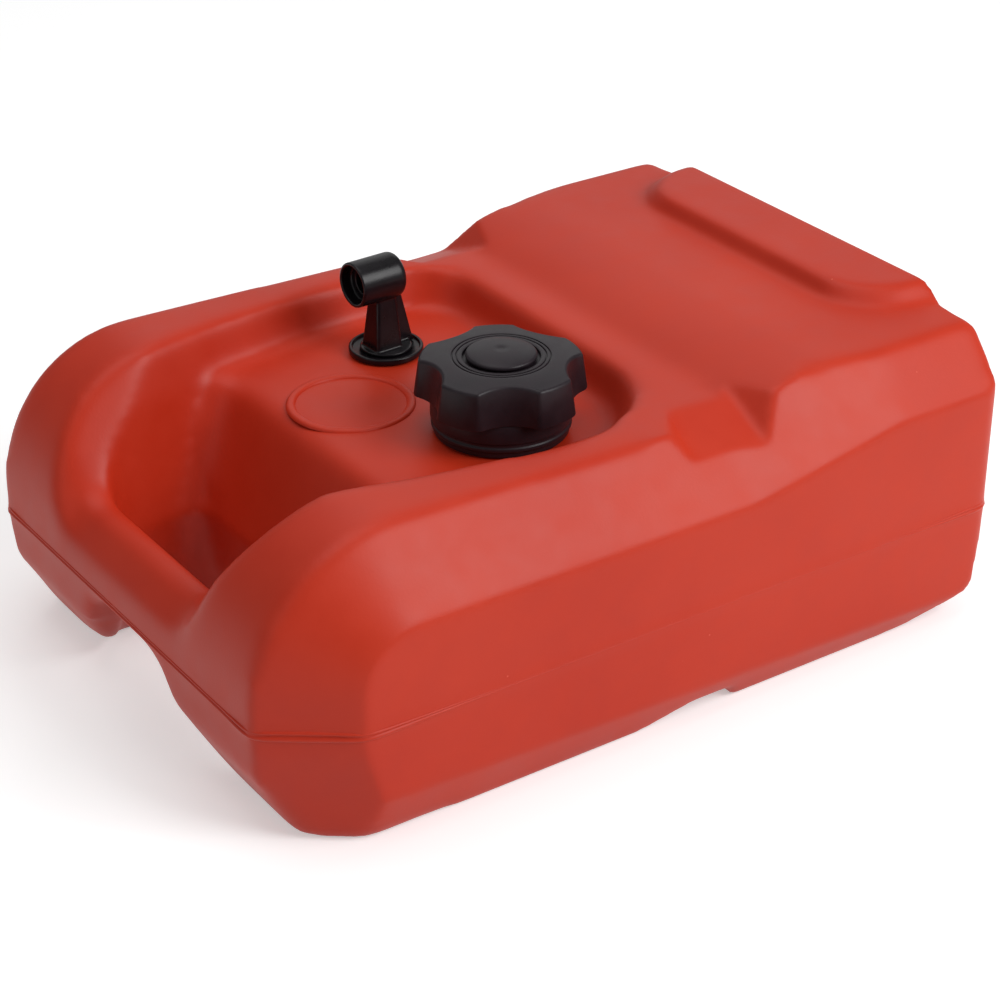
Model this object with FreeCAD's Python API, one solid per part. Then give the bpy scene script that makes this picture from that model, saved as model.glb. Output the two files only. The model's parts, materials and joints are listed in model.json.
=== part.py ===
import FreeCAD, Part
import math
import os

os.makedirs("parts", exist_ok=True)

V = FreeCAD.Vector

# ---------------------------------------------------------------- tank, overall (mm)
LENGTH = 404.0          # front face of the handle to the rear face
WIDTH = 300.0           # across the side panels
WALL = 4.0              # blow-moulded wall
SEAM_Z = 60.6           # parting line of the mould
DECK_Z = 152.0          # rear deck
RAIL_FRONT_Z = 146.5    # crest of the rails at the front
RAIL_DIP_Z = 139.5      # crest of the rails where they dip before the deck
RAIL_CROWN = 4.0        # crest of a rail above its outer edge
PLATFORM_Z = 120.0      # floor of the saddle that carries the fittings
FLASH_OUT = 1.0         # flash ridge along the parting line
FLASH_HIGH = 1.6

front_x = -LENGTH / 2
rear_x = LENGTH / 2
half_w = WIDTH / 2
BEYOND = 25.0           # how far cutting tools reach past the tank

# side profile
TOE_BACK = 21.0         # how far the front feet stand back of the front face
TOE_Z = 36.0            # height where the front face turns back to the feet
TOE_R = 24.0
HEEL_RUN = 48.0         # rear wall to the place where the floor starts to rise
HEEL_Z = 14.0           # height of that rise at the rear wall
HEEL_R = 60.0
REAR_TUCK = 9.0         # how far the rear wall draws in below the seam
FRONT_ARC = 72.0        # radius of the rails over the front
DECK_EDGE_R = 7.0
DIP_FROM_REAR = 140.0   # start of the step up to the deck
STEP_RUN = 30.0         # length of that step
STEP_FOOT_R = 16.0
STEP_TOP_R = 110.0
REAR_CORNER_R = 11.0

# flanks: the sloping bands between side panels and rails
FLANK_IN = 25.0         # width of the band, seen from above
FLANK_RISE = 32.0       # and its height over the rear part of the side panel
PANEL_FRONT_Z = 107.0   # upper crease of the side panel, front part
PANEL_REAR_Z = 123.5    # and rear part
PANEL_RISE_FROM_REAR = 154.0
PANEL_RISE_RUN = 87.0
PANEL_NOSE = 40.0       # front face to the front crease of the panel
PANEL_NOSE_R = 29.0
CORNER_NOSE = 6.0       # front face to the inner line of the corner band
CORNER_BREAK_Z = 52.0   # height where the front corners turn in
CORNER_TUCK = 15.0      # how far they turn in at the bottom
FLOOR_IN = 8.5          # the floor is narrower than the side panels
CHAMFER_FRONT_Z = 26.5  # lower crease of the side panel, front end
CHAMFER_REAR_Z = 12.0   # and rear end

# carrying handle: the bar across the front, and the hand hole behind it
BAR_Z = 89.0            # top of the bar
BAR_FRONT_DROP = 15.0   # how far the top falls away towards the front face
BAR_DEEP = 27.0         # front face to the hand hole
BAR_HALF = 57.0         # half the level length of the bar
HORN_RUN = 38.0         # run of the slope from the bar up to a rail
SCOOP_LEAN = 0.2        # how fast the sides of the scoop close in towards the saddle
SCOOP_SHORT = 8.0       # end of the scoop to the rear wall of the hand hole
HAND_HALF = 58.0        # half width of the hand hole at the seam
HAND_DEEP = 53.0        # hand hole, front to back, at the seam
HAND_R = 15.0
ARCH_Z = 54.0           # ceiling of the finger arch under the bar
ARCH_TOP_HALF = 31.0
ARCH_FOOT_HALF = 63.0
ARCH_R = 22.0
ARCH_FLARE = 34.0       # radius where the arch runs out into the feet

# saddle: the recess between the rails
PLATFORM_FRONT = 105.0  # front face to the front crease of the platform
SADDLE_NOSE_HALF = 66.0
SADDLE_FRONT_HALF = 87.0
SADDLE_REAR_HALF = 96.0
SADDLE_BACK = 134.0     # platform crease to the rear wall of the saddle
SADDLE_DRAFT = 7.0      # how far the walls lean out over their height
SADDLE_CAP_R = 58.0     # round corner beside the fuel cap
SADDLE_FAR_R = 28.0

# strap path: notches in the rails and a channel across the floor
NOTCH_OUT_X = 22.0      # forward end of the notch at the side panel
NOTCH_IN_X = 33.5       # and at the rail
NOTCH_LONG = 41.0
NOTCH_SHORT = 6.0       # how much shorter the notch is at its inner end
NOTCH_IN = 52.0         # inner end of the notch, from the side panel
NOTCH_Z = 142.0         # notch floor at its inner end
NOTCH_FALL = 20.0       # fall of the notch floor to the side panel
NOTCH_FRONT_LEAN = 1.2  # run of the front wall for each mm of its height
NOTCH_REAR_LEAN = 0.9   # and of the rear wall
CHANNEL_X = 31.0        # middle of the channel
CHANNEL_DEEP = 8.0
CHANNEL_TOP = 20.0      # length of its level ceiling
CHANNEL_FRONT_RUN = 29.0
CHANNEL_REAR_RUN = 5.0

# rear bolster
BOLSTER_Z = 160.6
BOLSTER_DEEP = 47.0
BOLSTER_HALF = 96.0
BOLSTER_R = 34.0
BOLSTER_LEAN = 5.0

# filler neck, moulded on the tank, and the thread on it
CAP_X, CAP_Y = -18.5, -41.5
NECK_R = 27.0           # root of the thread
NECK_BORE_R = 22.0
NECK_TOP = 134.5
PITCH = 6.0
TURNS = 1.25
THREAD_HIGH = 1.9       # root to crest
THREAD_BASE = 3.0       # width at the root
THREAD_CREST = 1.4
THREAD_LOW_Z = 125.2    # middle of the ridge where it starts
THREAD_GAP = 0.5        # radial clearance between cap and neck
THREAD_SHIFT = 2.4      # ridge of the cap below the ridge of the neck

# blank seat for a gauge
GAUGE_X, GAUGE_Y = -63.0, 21.0
GAUGE_R = 31.0
GAUGE_RIM = 4.3
GAUGE_HIGH = 1.2

# cap: core with the female thread, and the knob that turns it
SKIRT_R = 33.5
SKIRT_LOW_Z = 121.0
SHOULDER_Z = 137.8      # top of the skirt, where the knob starts
PLATE_LOW_Z = 136.0
BOSS_R = 29.2
BOSS_Z = 140.0
COLLAR_R = 14.8         # collar that holds the knob
COLLAR_BORE_R = 11.6
COLLAR_Z = 151.0
CLIP_Z = 148.8
CLIP_THICK = 1.2
TEETH = 24
TOOTH_HIGH = 1.6
TOOTH_IN_R, TOOTH_OUT_R = 23.0, 27.0
KNOB_R = 41.0
KNOB_Z = 138.0
KNOB_RIM_Z = 156.4      # top of the rim
KNOB_TOP_Z = 158.2      # level middle of the crowned top
KNOB_DRAFT = 2.2        # how much the rim lies inside the lower edge
KNOB_LOBES = 5
BITE_R = 22.0           # radius of a scallop
SCALLOP_R = 34.0        # knob radius at the middle of a scallop
LOBE_ROUND = 4.5        # round corner between a lobe and a scallop
SCALLOP_AT = -119.0     # degrees, direction of the first one
KNOB_EDGE = 1.6
KNOB_ROOF = 2.6
KNOB_CORE_R = 29.7      # room for the cap core and the ratchet ring
KNOB_CORE_Z = 145.0
KNOB_HOLLOW_R = 26.5    # narrower hollow above that
DISC_R = 16.4
DISC_HIGH = 3.6
BAND_R = 22.9           # ring line on the knob top

# pressure and vacuum vent in the cap
VENT_R = 8.7
VENT_BORE_R = 6.6
VENT_LOW_Z = 127.0
VENT_FLOOR = 2.0
VENT_PORT_R = 3.3
VENT_FLANGE_R = 11.3
VENT_TOP_Z = 141.4
POPPET_R = 6.3
POPPET_THICK = 1.6
SEAL_THICK = 0.8
VENT_LIFT = 2.4
SPRING_R = 4.6
SPRING_WIRE_R = 0.35
SPRING_TURNS = 4.5
BAFFLE_R = 10.4
BAFFLE_LOW_Z = 122.6

# tether of the cap, inside the tank
TETHER_THICK = 1.2
TETHER_WIDE = 6.0
TETHER_DROP = 62.0
TETHER_REACH = 13.0     # cap axis to the hanging band
TOGGLE_LONG = 54.0
TOGGLE_R = 2.6

# fuel pickup: flange in the tank, elbow that turns in it, tube and strainer
PICK_X, PICK_Y = -18.5, 60.0
PICK_HOLE_R = 11.2
PICK_BOSS_R = 16.0
PICK_BOSS_LOW_Z = 107.0
FLANGE_R = 18.7
FLANGE_Z = 122.4        # floor of the dish
FLANGE_RIM_Z = 124.0
FLANGE_RIM = 2.0
SPIGOT_LOW_Z = 106.0
JOURNAL_R = 7.5
JOURNAL_GAP = 0.25
JOURNAL_LOW_Z = 101.0
PASSAGE_R = 2.6
RING_Z = (111.0, 116.0)
RING_WIRE_R = 0.66
BARREL_R = 11.4
BARREL_Z = 161.0
BARREL_FRONT = 19.2     # swivel axis to the open end
BARREL_REAR = 7.0
BARREL_END = 3.4        # rounding of its closed end
BARREL_TURN = 182.0     # degrees, direction of the open end
MOUTH_R = 9.6
MOUTH_DEEP = 6.0
PORT_R = 5.6            # wall of the 1/4 inch pipe thread
PORT_LONG = 13.0
BASE_R = 13.0           # round foot plate that turns in the dish
BASE_HIGH = 1.6
FOOT_FRONT, FOOT_REAR, FOOT_WIDE = 10.0, 5.5, 15.0      # post at its foot, from the swivel axis
POST_FRONT, POST_REAR, POST_WIDE = 7.3, 4.2, 8.8        # and at the barrel
RIB_THICK = 3.6
RIB_FOOT, RIB_TOP = 15.6, 8.6       # rear edge of the rib, from the swivel axis
TUBE_R = 4.75
TUBE_WALL = 1.4
TUBE_LOW_Z = 12.0
STRAINER_R = 7.0
STRAINER_LOW_Z = 6.0
STRAINER_Z = 30.0
SLIP = 0.05             # gap between pieces pushed together


def unit(x, y):
    size = math.hypot(x, y)
    return x / size, y / size


def grown(corners, amount):
    """The same outline, counter-clockwise, with every side moved out by amount."""
    result = []
    for i, (x, y, r) in enumerate(corners):
        ax, ay = corners[i - 1][:2]
        bx, by = corners[(i + 1) % len(corners)][:2]
        ux, uy = unit(x - ax, y - ay)
        wx, wy = unit(bx - x, by - y)
        share = amount / (1 + ux * wx + uy * wy)
        turn = ux * wy - uy * wx
        radius = r + amount if turn > 0 else r - amount
        result.append((x + share * (uy + wy), y - share * (ux + wx), max(radius, 0.6) if r else 0.0))
    return result


def mixed(first, second, share):
    """The outline that lies share of the way from the first outline to the second."""
    return [tuple(a + share * (b - a) for a, b in zip(p, q)) for p, q in zip(first, second)]


def wire(corners, place):
    """A closed wire with rounded corners; place turns its two coordinates into a point."""
    ends = []
    for i, (x, y, r) in enumerate(corners):
        ax, ay = corners[i - 1][:2]
        bx, by = corners[(i + 1) % len(corners)][:2]
        ux, uy = unit(ax - x, ay - y)
        wx, wy = unit(bx - x, by - y)
        half = math.acos(max(-1.0, min(1.0, ux * wx + uy * wy))) / 2
        if not r:
            ends.append(((x, y), None, (x, y)))
            continue
        reach = r / math.tan(half)
        mx, my = unit(ux + wx, uy + wy)
        deep = r / math.sin(half) - r
        ends.append(((x + reach * ux, y + reach * uy), (x + deep * mx, y + deep * my),
                     (x + reach * wx, y + reach * wy)))
    edges = []
    for i, (start, middle, end) in enumerate(ends):
        last = ends[i - 1][2]
        edges.append(Part.LineSegment(place(*last), place(*start)).toShape())
        if middle:
            edges.append(Part.Arc(place(*start), place(*middle), place(*end)).toShape())
    return Part.Wire(edges)


def on_side(y):
    return lambda u, v: V(u, y, v)


def on_level(z):
    return lambda u, v: V(u, v, z)


def on_section(x):
    return lambda u, v: V(x, u, v)


def slab(corners, place, along):
    return Part.Face(wire(corners, place)).extrude(along)


def bridge(first, first_place, second, second_place):
    return Part.makeLoft([wire(first, first_place), wire(second, second_place)], True, True)


def mirrored(shape):
    return shape.mirror(V(0, 0, 0), V(0, 1, 0))


def side_profile():
    dip_x = rear_x - DIP_FROM_REAR
    return [
        (front_x + 1.5, TOE_Z, TOE_R),
        (front_x + TOE_BACK, 0, 8),
        (rear_x - HEEL_RUN, 0, HEEL_R),
        (rear_x - REAR_TUCK, HEEL_Z, 10),
        (rear_x, SEAM_Z, 0),
        (rear_x, DECK_Z, DECK_EDGE_R),
        (dip_x + STEP_RUN, DECK_Z, STEP_TOP_R),
        (dip_x, RAIL_DIP_Z, STEP_FOOT_R),
        (front_x + 1, RAIL_FRONT_Z, FRONT_ARC),
        (front_x, SEAM_Z, 0),
    ]


def hull(grow):
    length = rear_x - front_x + 2 * BEYOND
    block = slab(grown(side_profile(), grow), on_side(-half_w - grow), V(0, 2 * (half_w + grow), 0))
    plan = [
        (front_x - BEYOND, -half_w, 0), (rear_x, -half_w, REAR_CORNER_R),
        (rear_x, half_w, REAR_CORNER_R), (front_x - BEYOND, half_w, 0),
    ]
    column = slab(grown(plan, grow), on_level(-BEYOND), V(0, 0, DECK_Z + 2 * BEYOND))
    return block.common(column)


def flank_outlines():
    rear, front, low, high = rear_x + BEYOND, front_x - 2 * BEYOND, -BEYOND, DECK_Z + 3 * BEYOND
    rise_x, crest_z = rear_x - PANEL_RISE_FROM_REAR, PANEL_REAR_Z + FLANK_RISE
    tuck = CORNER_TUCK * (CORNER_BREAK_Z - low) / CORNER_BREAK_Z
    panel_x, corner_x = front_x + PANEL_NOSE, front_x + CORNER_NOSE
    panel = [
        (front, low, 0), (panel_x + tuck, low, 0), (panel_x, CORNER_BREAK_Z, 25),
        (panel_x, PANEL_FRONT_Z, PANEL_NOSE_R), (rise_x, PANEL_FRONT_Z, 60),
        (rise_x + PANEL_RISE_RUN, PANEL_REAR_Z, 45), (rear, PANEL_REAR_Z, 0), (rear, high, 0),
        (front, high, 0),
    ]
    edge = [
        (front, low, 0), (corner_x + tuck, low, 0), (corner_x, CORNER_BREAK_Z, 25),
        (corner_x - 1, RAIL_FRONT_Z - RAIL_CROWN, 62), (rise_x, RAIL_DIP_Z - RAIL_CROWN / 2, 60),
        (rise_x + PANEL_RISE_RUN, crest_z, 45), (rear, crest_z, 0), (rear, high, 0), (front, high, 0),
    ]
    return panel, edge


def flank_tool(grow):
    panel, edge = flank_outlines()
    out, inn = -0.2, 1.4
    outer = grown(mixed(panel, edge, out), 1.25 * grow)
    inner = grown(mixed(panel, edge, inn), 1.25 * grow)
    tool = bridge(outer, on_side(half_w - out * FLANK_IN), inner, on_side(half_w - inn * FLANK_IN))
    return tool


def floor_tool(grow):
    """Wedge that takes the lower edge off one side."""
    over = 0.35
    def section(z):
        low, out = -over * z, over * FLOOR_IN
        shift = grow * math.hypot(z, FLOOR_IN) / z
        foot = half_w - FLOOR_IN - out - shift
        return [(foot, low, 0), (half_w + out + 9, low, 0), (half_w + out + 9, z * (1 + over), 0),
                (half_w + out - shift, z * (1 + over), 0)]
    return bridge(section(CHAMFER_FRONT_Z), on_section(front_x - BEYOND),
                  section(CHAMFER_REAR_Z), on_section(rear_x + BEYOND))


def handle_tools(grow):
    """Scoop over the bar, hand hole above and below the seam, finger arch."""
    top, low = DECK_Z + BEYOND, -BEYOND
    bar_in = front_x + BAR_DEEP
    def scoop(drop):
        z = BAR_Z - drop
        rise = (top - BAR_Z) / (RAIL_FRONT_Z - BAR_Z) * HORN_RUN
        return [(-BAR_HALF, z, ARCH_R), (BAR_HALF, z, ARCH_R), (BAR_HALF + rise, top - drop, 0),
                (-BAR_HALF - rise, top - drop, 0)]
    slope = BAR_FRONT_DROP / (BAR_DEEP / 2)
    front_scoop = bridge(grown(scoop(slope * (BAR_DEEP / 2 + 10)), grow), on_section(front_x - 10),
                         grown(scoop(0), grow), on_section(front_x + BAR_DEEP / 2))
    middle_x, end_x = front_x + BAR_DEEP / 2, bar_in + HAND_DEEP - SCOOP_SHORT
    lean = SCOOP_LEAN * (end_x - middle_x)
    narrow = [(math.copysign(abs(y) - lean, y), z, r) for y, z, r in scoop(0)]
    rear_scoop = bridge(grown(scoop(0), grow), on_section(middle_x), grown(narrow, grow), on_section(end_x))
    crease_x = front_x + PLATFORM_FRONT
    deep = HAND_HALF + 14
    seam = [(bar_in, -HAND_HALF, HAND_R), (bar_in + HAND_DEEP, -deep, HAND_R),
            (bar_in + HAND_DEEP, deep, HAND_R), (bar_in, HAND_HALF, HAND_R)]
    upper = [(bar_in - 1.5, -SADDLE_NOSE_HALF, HAND_R), (crease_x, -SADDLE_FRONT_HALF, HAND_R),
             (crease_x, SADDLE_FRONT_HALF, HAND_R), (bar_in - 1.5, SADDLE_NOSE_HALF, HAND_R)]
    lower = [(bar_in - 3, -HAND_HALF - 12, HAND_R), (bar_in + HAND_DEEP + 10, -deep - 8, HAND_R),
             (bar_in + HAND_DEEP + 10, deep + 8, HAND_R), (bar_in - 3, HAND_HALF + 12, HAND_R)]
    upper_hole = bridge(grown(seam, grow), on_level(SEAM_Z), grown(upper, grow), on_level(PLATFORM_Z - grow))
    lower_hole = bridge(grown(lower, grow), on_level(low), grown(seam, grow), on_level(SEAM_Z))
    def arch(narrow):
        foot, out = ARCH_FOOT_HALF - narrow, ARCH_FOOT_HALF + 38
        return [(-out, low, 0), (out, low, 0), (out, -1, 0), (foot, 3, ARCH_FLARE),
                (ARCH_TOP_HALF - narrow / 3, ARCH_Z, ARCH_R), (-ARCH_TOP_HALF + narrow / 3, ARCH_Z, ARCH_R),
                (-foot, 3, ARCH_FLARE), (-out, -1, 0)]
    tunnel = bridge(grown(arch(0), grow), on_section(front_x - 10),
                    grown(arch(6), grow), on_section(bar_in + 8))
    return [front_scoop, rear_scoop, upper_hole, lower_hole, tunnel]


def saddle_tool(grow):
    top = DECK_Z + BEYOND
    crease = front_x + PLATFORM_FRONT
    front, back = front_x + BAR_DEEP - 1.5, crease + SADDLE_BACK
    def outline(lean):
        halves = SADDLE_REAR_HALF, SADDLE_FRONT_HALF, SADDLE_NOSE_HALF
        rear_half, front_half, nose_half = (half + lean for half in halves)
        return [
            (front - lean, -nose_half, HAND_R), (crease, -front_half, 0), (back - 72, -rear_half, 30),
            (back + lean, -rear_half, SADDLE_CAP_R), (back + lean, rear_half, SADDLE_FAR_R),
            (back - 72, rear_half, 30), (crease, front_half, 0), (front - lean, nose_half, HAND_R),
        ]
    steep = SADDLE_DRAFT / (RAIL_FRONT_Z - PLATFORM_Z)
    floor_z = PLATFORM_Z - grow
    return bridge(grown(outline(-steep * grow), grow), on_level(floor_z),
                  grown(outline(steep * (top - PLATFORM_Z)), grow), on_level(top))


def notch_tool(grow):
    """Seat for a tie-down strap, in the +Y rail."""
    out_y, in_y, top = half_w + 6, half_w - NOTCH_IN, DECK_Z + BEYOND
    fall = NOTCH_FALL / NOTCH_IN * (out_y - half_w)
    run = (NOTCH_IN_X - NOTCH_OUT_X) / NOTCH_IN * (out_y - half_w)
    low_in, low_out = NOTCH_Z - grow, NOTCH_Z - NOTCH_FALL - fall - grow
    def quad(z_in, z_out):
        ring = []
        for x, y, z, low, lean in (
                (NOTCH_IN_X, in_y - grow, z_in, low_in, -NOTCH_FRONT_LEAN),
                (NOTCH_OUT_X - run, out_y, z_out, low_out, -NOTCH_FRONT_LEAN),
                (NOTCH_OUT_X + NOTCH_LONG, out_y, z_out, low_out, NOTCH_REAR_LEAN),
                (NOTCH_IN_X + NOTCH_LONG - NOTCH_SHORT, in_y - grow, z_in, low_in, NOTCH_REAR_LEAN)):
            out = grow * (math.hypot(1, lean) - abs(lean))
            ring.append(V(x + lean * (z - low) + math.copysign(out, lean), y, z))
        return ring
    low, high = quad(low_in, low_out), quad(top, top)
    rings = [Part.makePolygon(ring + ring[:1]) for ring in (low, high)]
    return Part.makeLoft(rings, True, True)


def channel_tool(grow):
    front = CHANNEL_X - CHANNEL_TOP / 2
    rear = CHANNEL_X + CHANNEL_TOP / 2
    low = -CHANNEL_DEEP / 2
    corners = [(front - 1.5 * CHANNEL_FRONT_RUN, low, 0), (rear + 1.5 * CHANNEL_REAR_RUN, low, 0),
               (rear, CHANNEL_DEEP, 4), (front, CHANNEL_DEEP, 12)]
    return slab(grown(corners, grow), on_side(-half_w - 5), V(0, WIDTH + 10, 0))


def bolster(grow):
    def pad(lean):
        front = rear_x - BOLSTER_DEEP + lean
        rear = rear_x - lean / 3
        return [(front, -BOLSTER_HALF + lean, BOLSTER_R), (rear, -BOLSTER_HALF - 6 + 2 * lean, 0),
                (rear, BOLSTER_HALF + 6 - 2 * lean, 0), (front, BOLSTER_HALF - lean, BOLSTER_R)]
    sink = 5.0
    base = pad(-BOLSTER_LEAN * sink / (BOLSTER_Z - DECK_Z))
    base = [(min(x, rear_x), y, r) for x, y, r in base]
    return bridge(grown(base, grow), on_level(DECK_Z - sink + grow),
                  grown(pad(BOLSTER_LEAN), grow), on_level(BOLSTER_Z + grow))


def body(grow=0.0):
    shape = hull(grow)
    tools = [flank_tool(-grow), floor_tool(-grow), notch_tool(-grow)]
    for tool in tools:
        shape = shape.cut(tool).cut(mirrored(tool))
    for tool in handle_tools(-grow) + [saddle_tool(-grow), channel_tool(-grow)]:
        shape = shape.cut(tool)
    return shape.fuse(bolster(grow))


def cylinder(x, y, r, low, high):
    return Part.makeCylinder(r, high - low, V(x, y, low))


def tube(x, y, r, bore_r, low, high):
    return cylinder(x, y, r, low, high).cut(cylinder(x, y, bore_r, low - 1, high + 1))


def turned(x, y, corners):
    """Solid of revolution about the vertical through (x, y) from (radius, z) corners."""
    points = [V(x + r, y, z) for r, z in corners]
    face = Part.Face(Part.makePolygon(points + points[:1]))
    return face.revolve(V(x, y, 0), V(0, 0, 1), 360)


def ridge(base_r, crest_r, low_z):
    """Helical thread ridge between two radii, on the cap's axis."""
    sink = math.copysign(0.4, base_r - crest_r)
    base, crest = THREAD_BASE / 2, THREAD_CREST / 2
    spread = (base - crest) * abs(sink) / THREAD_HIGH
    corners = [(base_r + sink, -base - spread), (crest_r, -crest), (crest_r, crest),
               (base_r + sink, base + spread)]
    points = [V(r, 0, z) for r, z in corners]
    helix = Part.Wire(Part.makeHelix(PITCH, PITCH * TURNS, base_r).Edges)
    solid = helix.makePipeShell([Part.makePolygon(points + points[:1])], True, True)
    solid.translate(V(CAP_X, CAP_Y, low_z))
    return solid


def tank_shell():
    inside = PLATFORM_Z - WALL - 1
    flash = body(FLASH_OUT).common(Part.makeBox(
        LENGTH + 20, WIDTH + 20, FLASH_HIGH, V(front_x - 10, -half_w - 10, SEAM_Z - FLASH_HIGH / 2)))
    shell = body().fuse(flash).cut(body(-WALL))
    shell = shell.fuse(cylinder(CAP_X, CAP_Y, NECK_R, inside, NECK_TOP))
    shell = shell.fuse(cylinder(PICK_X, PICK_Y, PICK_BOSS_R, PICK_BOSS_LOW_Z, PLATFORM_Z - WALL / 2))
    shell = shell.fuse(tube(GAUGE_X, GAUGE_Y, GAUGE_R, GAUGE_R - GAUGE_RIM, PLATFORM_Z - 1,
                            PLATFORM_Z + GAUGE_HIGH))
    shell = shell.fuse(ridge(NECK_R, NECK_R + THREAD_HIGH, THREAD_LOW_Z))
    shell = shell.cut(cylinder(CAP_X, CAP_Y, NECK_BORE_R, inside - 1, NECK_TOP + 1))
    return shell.cut(cylinder(PICK_X, PICK_Y, PICK_HOLE_R, PICK_BOSS_LOW_Z - 1, PLATFORM_Z + 1))


def cap_core():
    """Skirt with the thread, shoulder, plate with ratchet teeth, and collar."""
    major_r = NECK_R + THREAD_HIGH + THREAD_GAP
    minor_r = NECK_R + THREAD_GAP
    low, waist = SKIRT_LOW_Z, SKIRT_R - 0.9
    shape = turned(CAP_X, CAP_Y, [
        (major_r, low), (waist - 0.5, low), (waist - 0.5, low + 2.6), (SKIRT_R - 0.3, low + 3.4),
        (SKIRT_R - 0.3, low + 5), (waist, low + 5.4), (waist, low + 7), (SKIRT_R, low + 7.6),
        (SKIRT_R, SHOULDER_Z), (BOSS_R, SHOULDER_Z), (BOSS_R, BOSS_Z), (COLLAR_R, BOSS_Z),
        (COLLAR_R, CLIP_Z), (COLLAR_R - 1.2, CLIP_Z), (COLLAR_R - 1.2, CLIP_Z + CLIP_THICK + 0.1),
        (COLLAR_R, CLIP_Z + CLIP_THICK + 0.1), (COLLAR_R, COLLAR_Z), (COLLAR_BORE_R, COLLAR_Z),
        (COLLAR_BORE_R, BOSS_Z), (VENT_R + SLIP, BOSS_Z), (VENT_R + SLIP, PLATE_LOW_Z),
        (major_r, PLATE_LOW_Z),
    ])
    shape = shape.fuse(ridge(major_r, minor_r, THREAD_LOW_Z - THREAD_SHIFT))
    return shape.fuse(ratchet_teeth(BOSS_Z - 0.3, TOOTH_HIGH + 0.3, 0.0))


def ratchet_teeth(low, high, gap):
    """Ring of saw teeth as one solid."""
    step = 2 * math.pi / TEETH
    def spot(r, angle, z):
        return V(CAP_X + r * math.cos(angle), CAP_Y + r * math.sin(angle), z)
    wedges = []
    for i in range(TEETH):
        start, end = i * step + gap, (i + 1) * step - 0.25 * step
        rings = []
        for r in (TOOTH_IN_R, TOOTH_OUT_R):
            ring = [spot(r, start, low), spot(r, end, low), spot(r, end, low + high)]
            rings.append(Part.makePolygon(ring + ring[:1]))
        wedges.append(Part.makeLoft(rings, True, True))
    return wedges[0].multiFuse(wedges[1:])


def ratchet_ring():
    """Ring in the knob whose four pawls reach down between the teeth."""
    step = 2 * math.pi / TEETH
    low = BOSS_Z + TOOTH_HIGH + 0.3
    shape = tube(CAP_X, CAP_Y, TOOTH_OUT_R + 1.2, TOOTH_IN_R - 2.6, low, low + 1.4)
    for k in range(4):
        middle = k * TEETH // 4 * step - 0.125 * step
        half = 0.075 * step
        rings = []
        for r in (TOOTH_IN_R + 0.4, TOOTH_OUT_R - 0.4):
            def spot(angle, z):
                return V(CAP_X + r * math.cos(angle), CAP_Y + r * math.sin(angle), z)
            ring = [spot(middle - half, BOSS_Z + 0.4), spot(middle + half, BOSS_Z + 0.4),
                    spot(middle + half, low + 0.5), spot(middle - half, low + 0.5)]
            rings.append(Part.makePolygon(ring + ring[:1]))
        shape = shape.fuse(Part.makeLoft(rings, True, True))
    return shape


def knob_outline(inset):
    """Closed wire of the knob seen from above: lobes on one circle, scallops between them."""
    outer, bite, corner = KNOB_R - inset, BITE_R + inset, LOBE_ROUND - inset
    bite_at, corner_at = SCALLOP_R + BITE_R, KNOB_R - LOBE_ROUND
    between = BITE_R + LOBE_ROUND
    swing = math.acos((bite_at ** 2 + corner_at ** 2 - between ** 2) / (2 * bite_at * corner_at))
    lean = math.acos((bite_at ** 2 + between ** 2 - corner_at ** 2) / (2 * bite_at * between))
    def spot(r, angle):
        return V(CAP_X + r * math.cos(angle), CAP_Y + r * math.sin(angle), 0)
    def around(middle, r, angle):
        return middle + V(r * math.cos(angle), r * math.sin(angle), 0)
    step, edges = 2 * math.pi / KNOB_LOBES, []
    for k in range(KNOB_LOBES):
        at = math.radians(SCALLOP_AT) + k * step
        bite_mid, corner_in = spot(bite_at, at), spot(corner_at, at - swing)
        corner_out, corner_next = spot(corner_at, at + swing), spot(corner_at, at + step - swing)
        bite_begin = around(bite_mid, bite, at + math.pi + lean)
        bite_end = around(bite_mid, bite, at + math.pi - lean)
        lobe_begin, lobe_end = spot(outer, at + swing), spot(outer, at + step - swing)
        half = (swing + lean) / 2
        edges.append(Part.Arc(spot(outer, at - swing), around(corner_in, corner, at - swing + half),
                              bite_begin).toShape())
        edges.append(Part.Arc(bite_begin, spot(SCALLOP_R - inset, at), bite_end).toShape())
        edges.append(Part.Arc(bite_end, around(corner_out, corner, at + swing - half), lobe_begin).toShape())
        edges.append(Part.Arc(lobe_begin, spot(outer, at + step / 2), lobe_end).toShape())
    return Part.Wire(edges)


def knob_layer(inset, z):
    outline = knob_outline(inset)
    outline.translate(V(0, 0, z))
    return outline


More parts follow.
